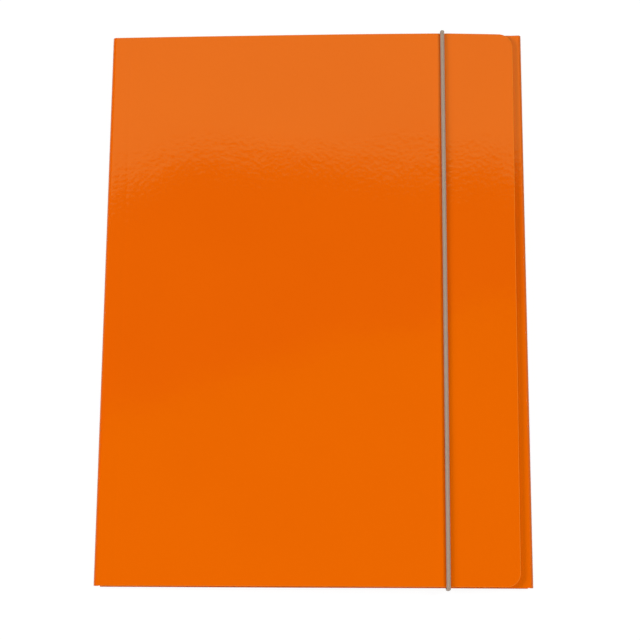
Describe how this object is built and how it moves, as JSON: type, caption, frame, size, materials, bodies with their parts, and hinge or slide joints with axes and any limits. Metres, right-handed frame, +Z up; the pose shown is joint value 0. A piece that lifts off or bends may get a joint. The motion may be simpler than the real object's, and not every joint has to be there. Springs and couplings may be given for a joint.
{
  "type": "three flap folder",
  "caption": "Closed card folder with inside end and side flaps, kept shut by an elastic cord that runs round its front from holes in the back panel.",
  "frame": {"origin": "under the middle of the closed folder, on the surface that it lies on", "axes": "+X from the spine to the open side, +Y from the foot to the head, +Z up out of the front cover"},
  "size_m": [0.24, 0.3234, 0.0104],
  "materials": {
    "glossy_card": "orange card, glossy film on the outside",
    "grey_elastic": "braided grey elastic cord",
    "tag_steel": "plain nickel-plated steel"
  },
  "bodies": {
    "root": {"card_folder": "glossy_card", "elastic_cord": "grey_elastic", "cord_tag_top": "tag_steel", "cord_tag_bottom": "tag_steel"}
  },
  "joints": []
}
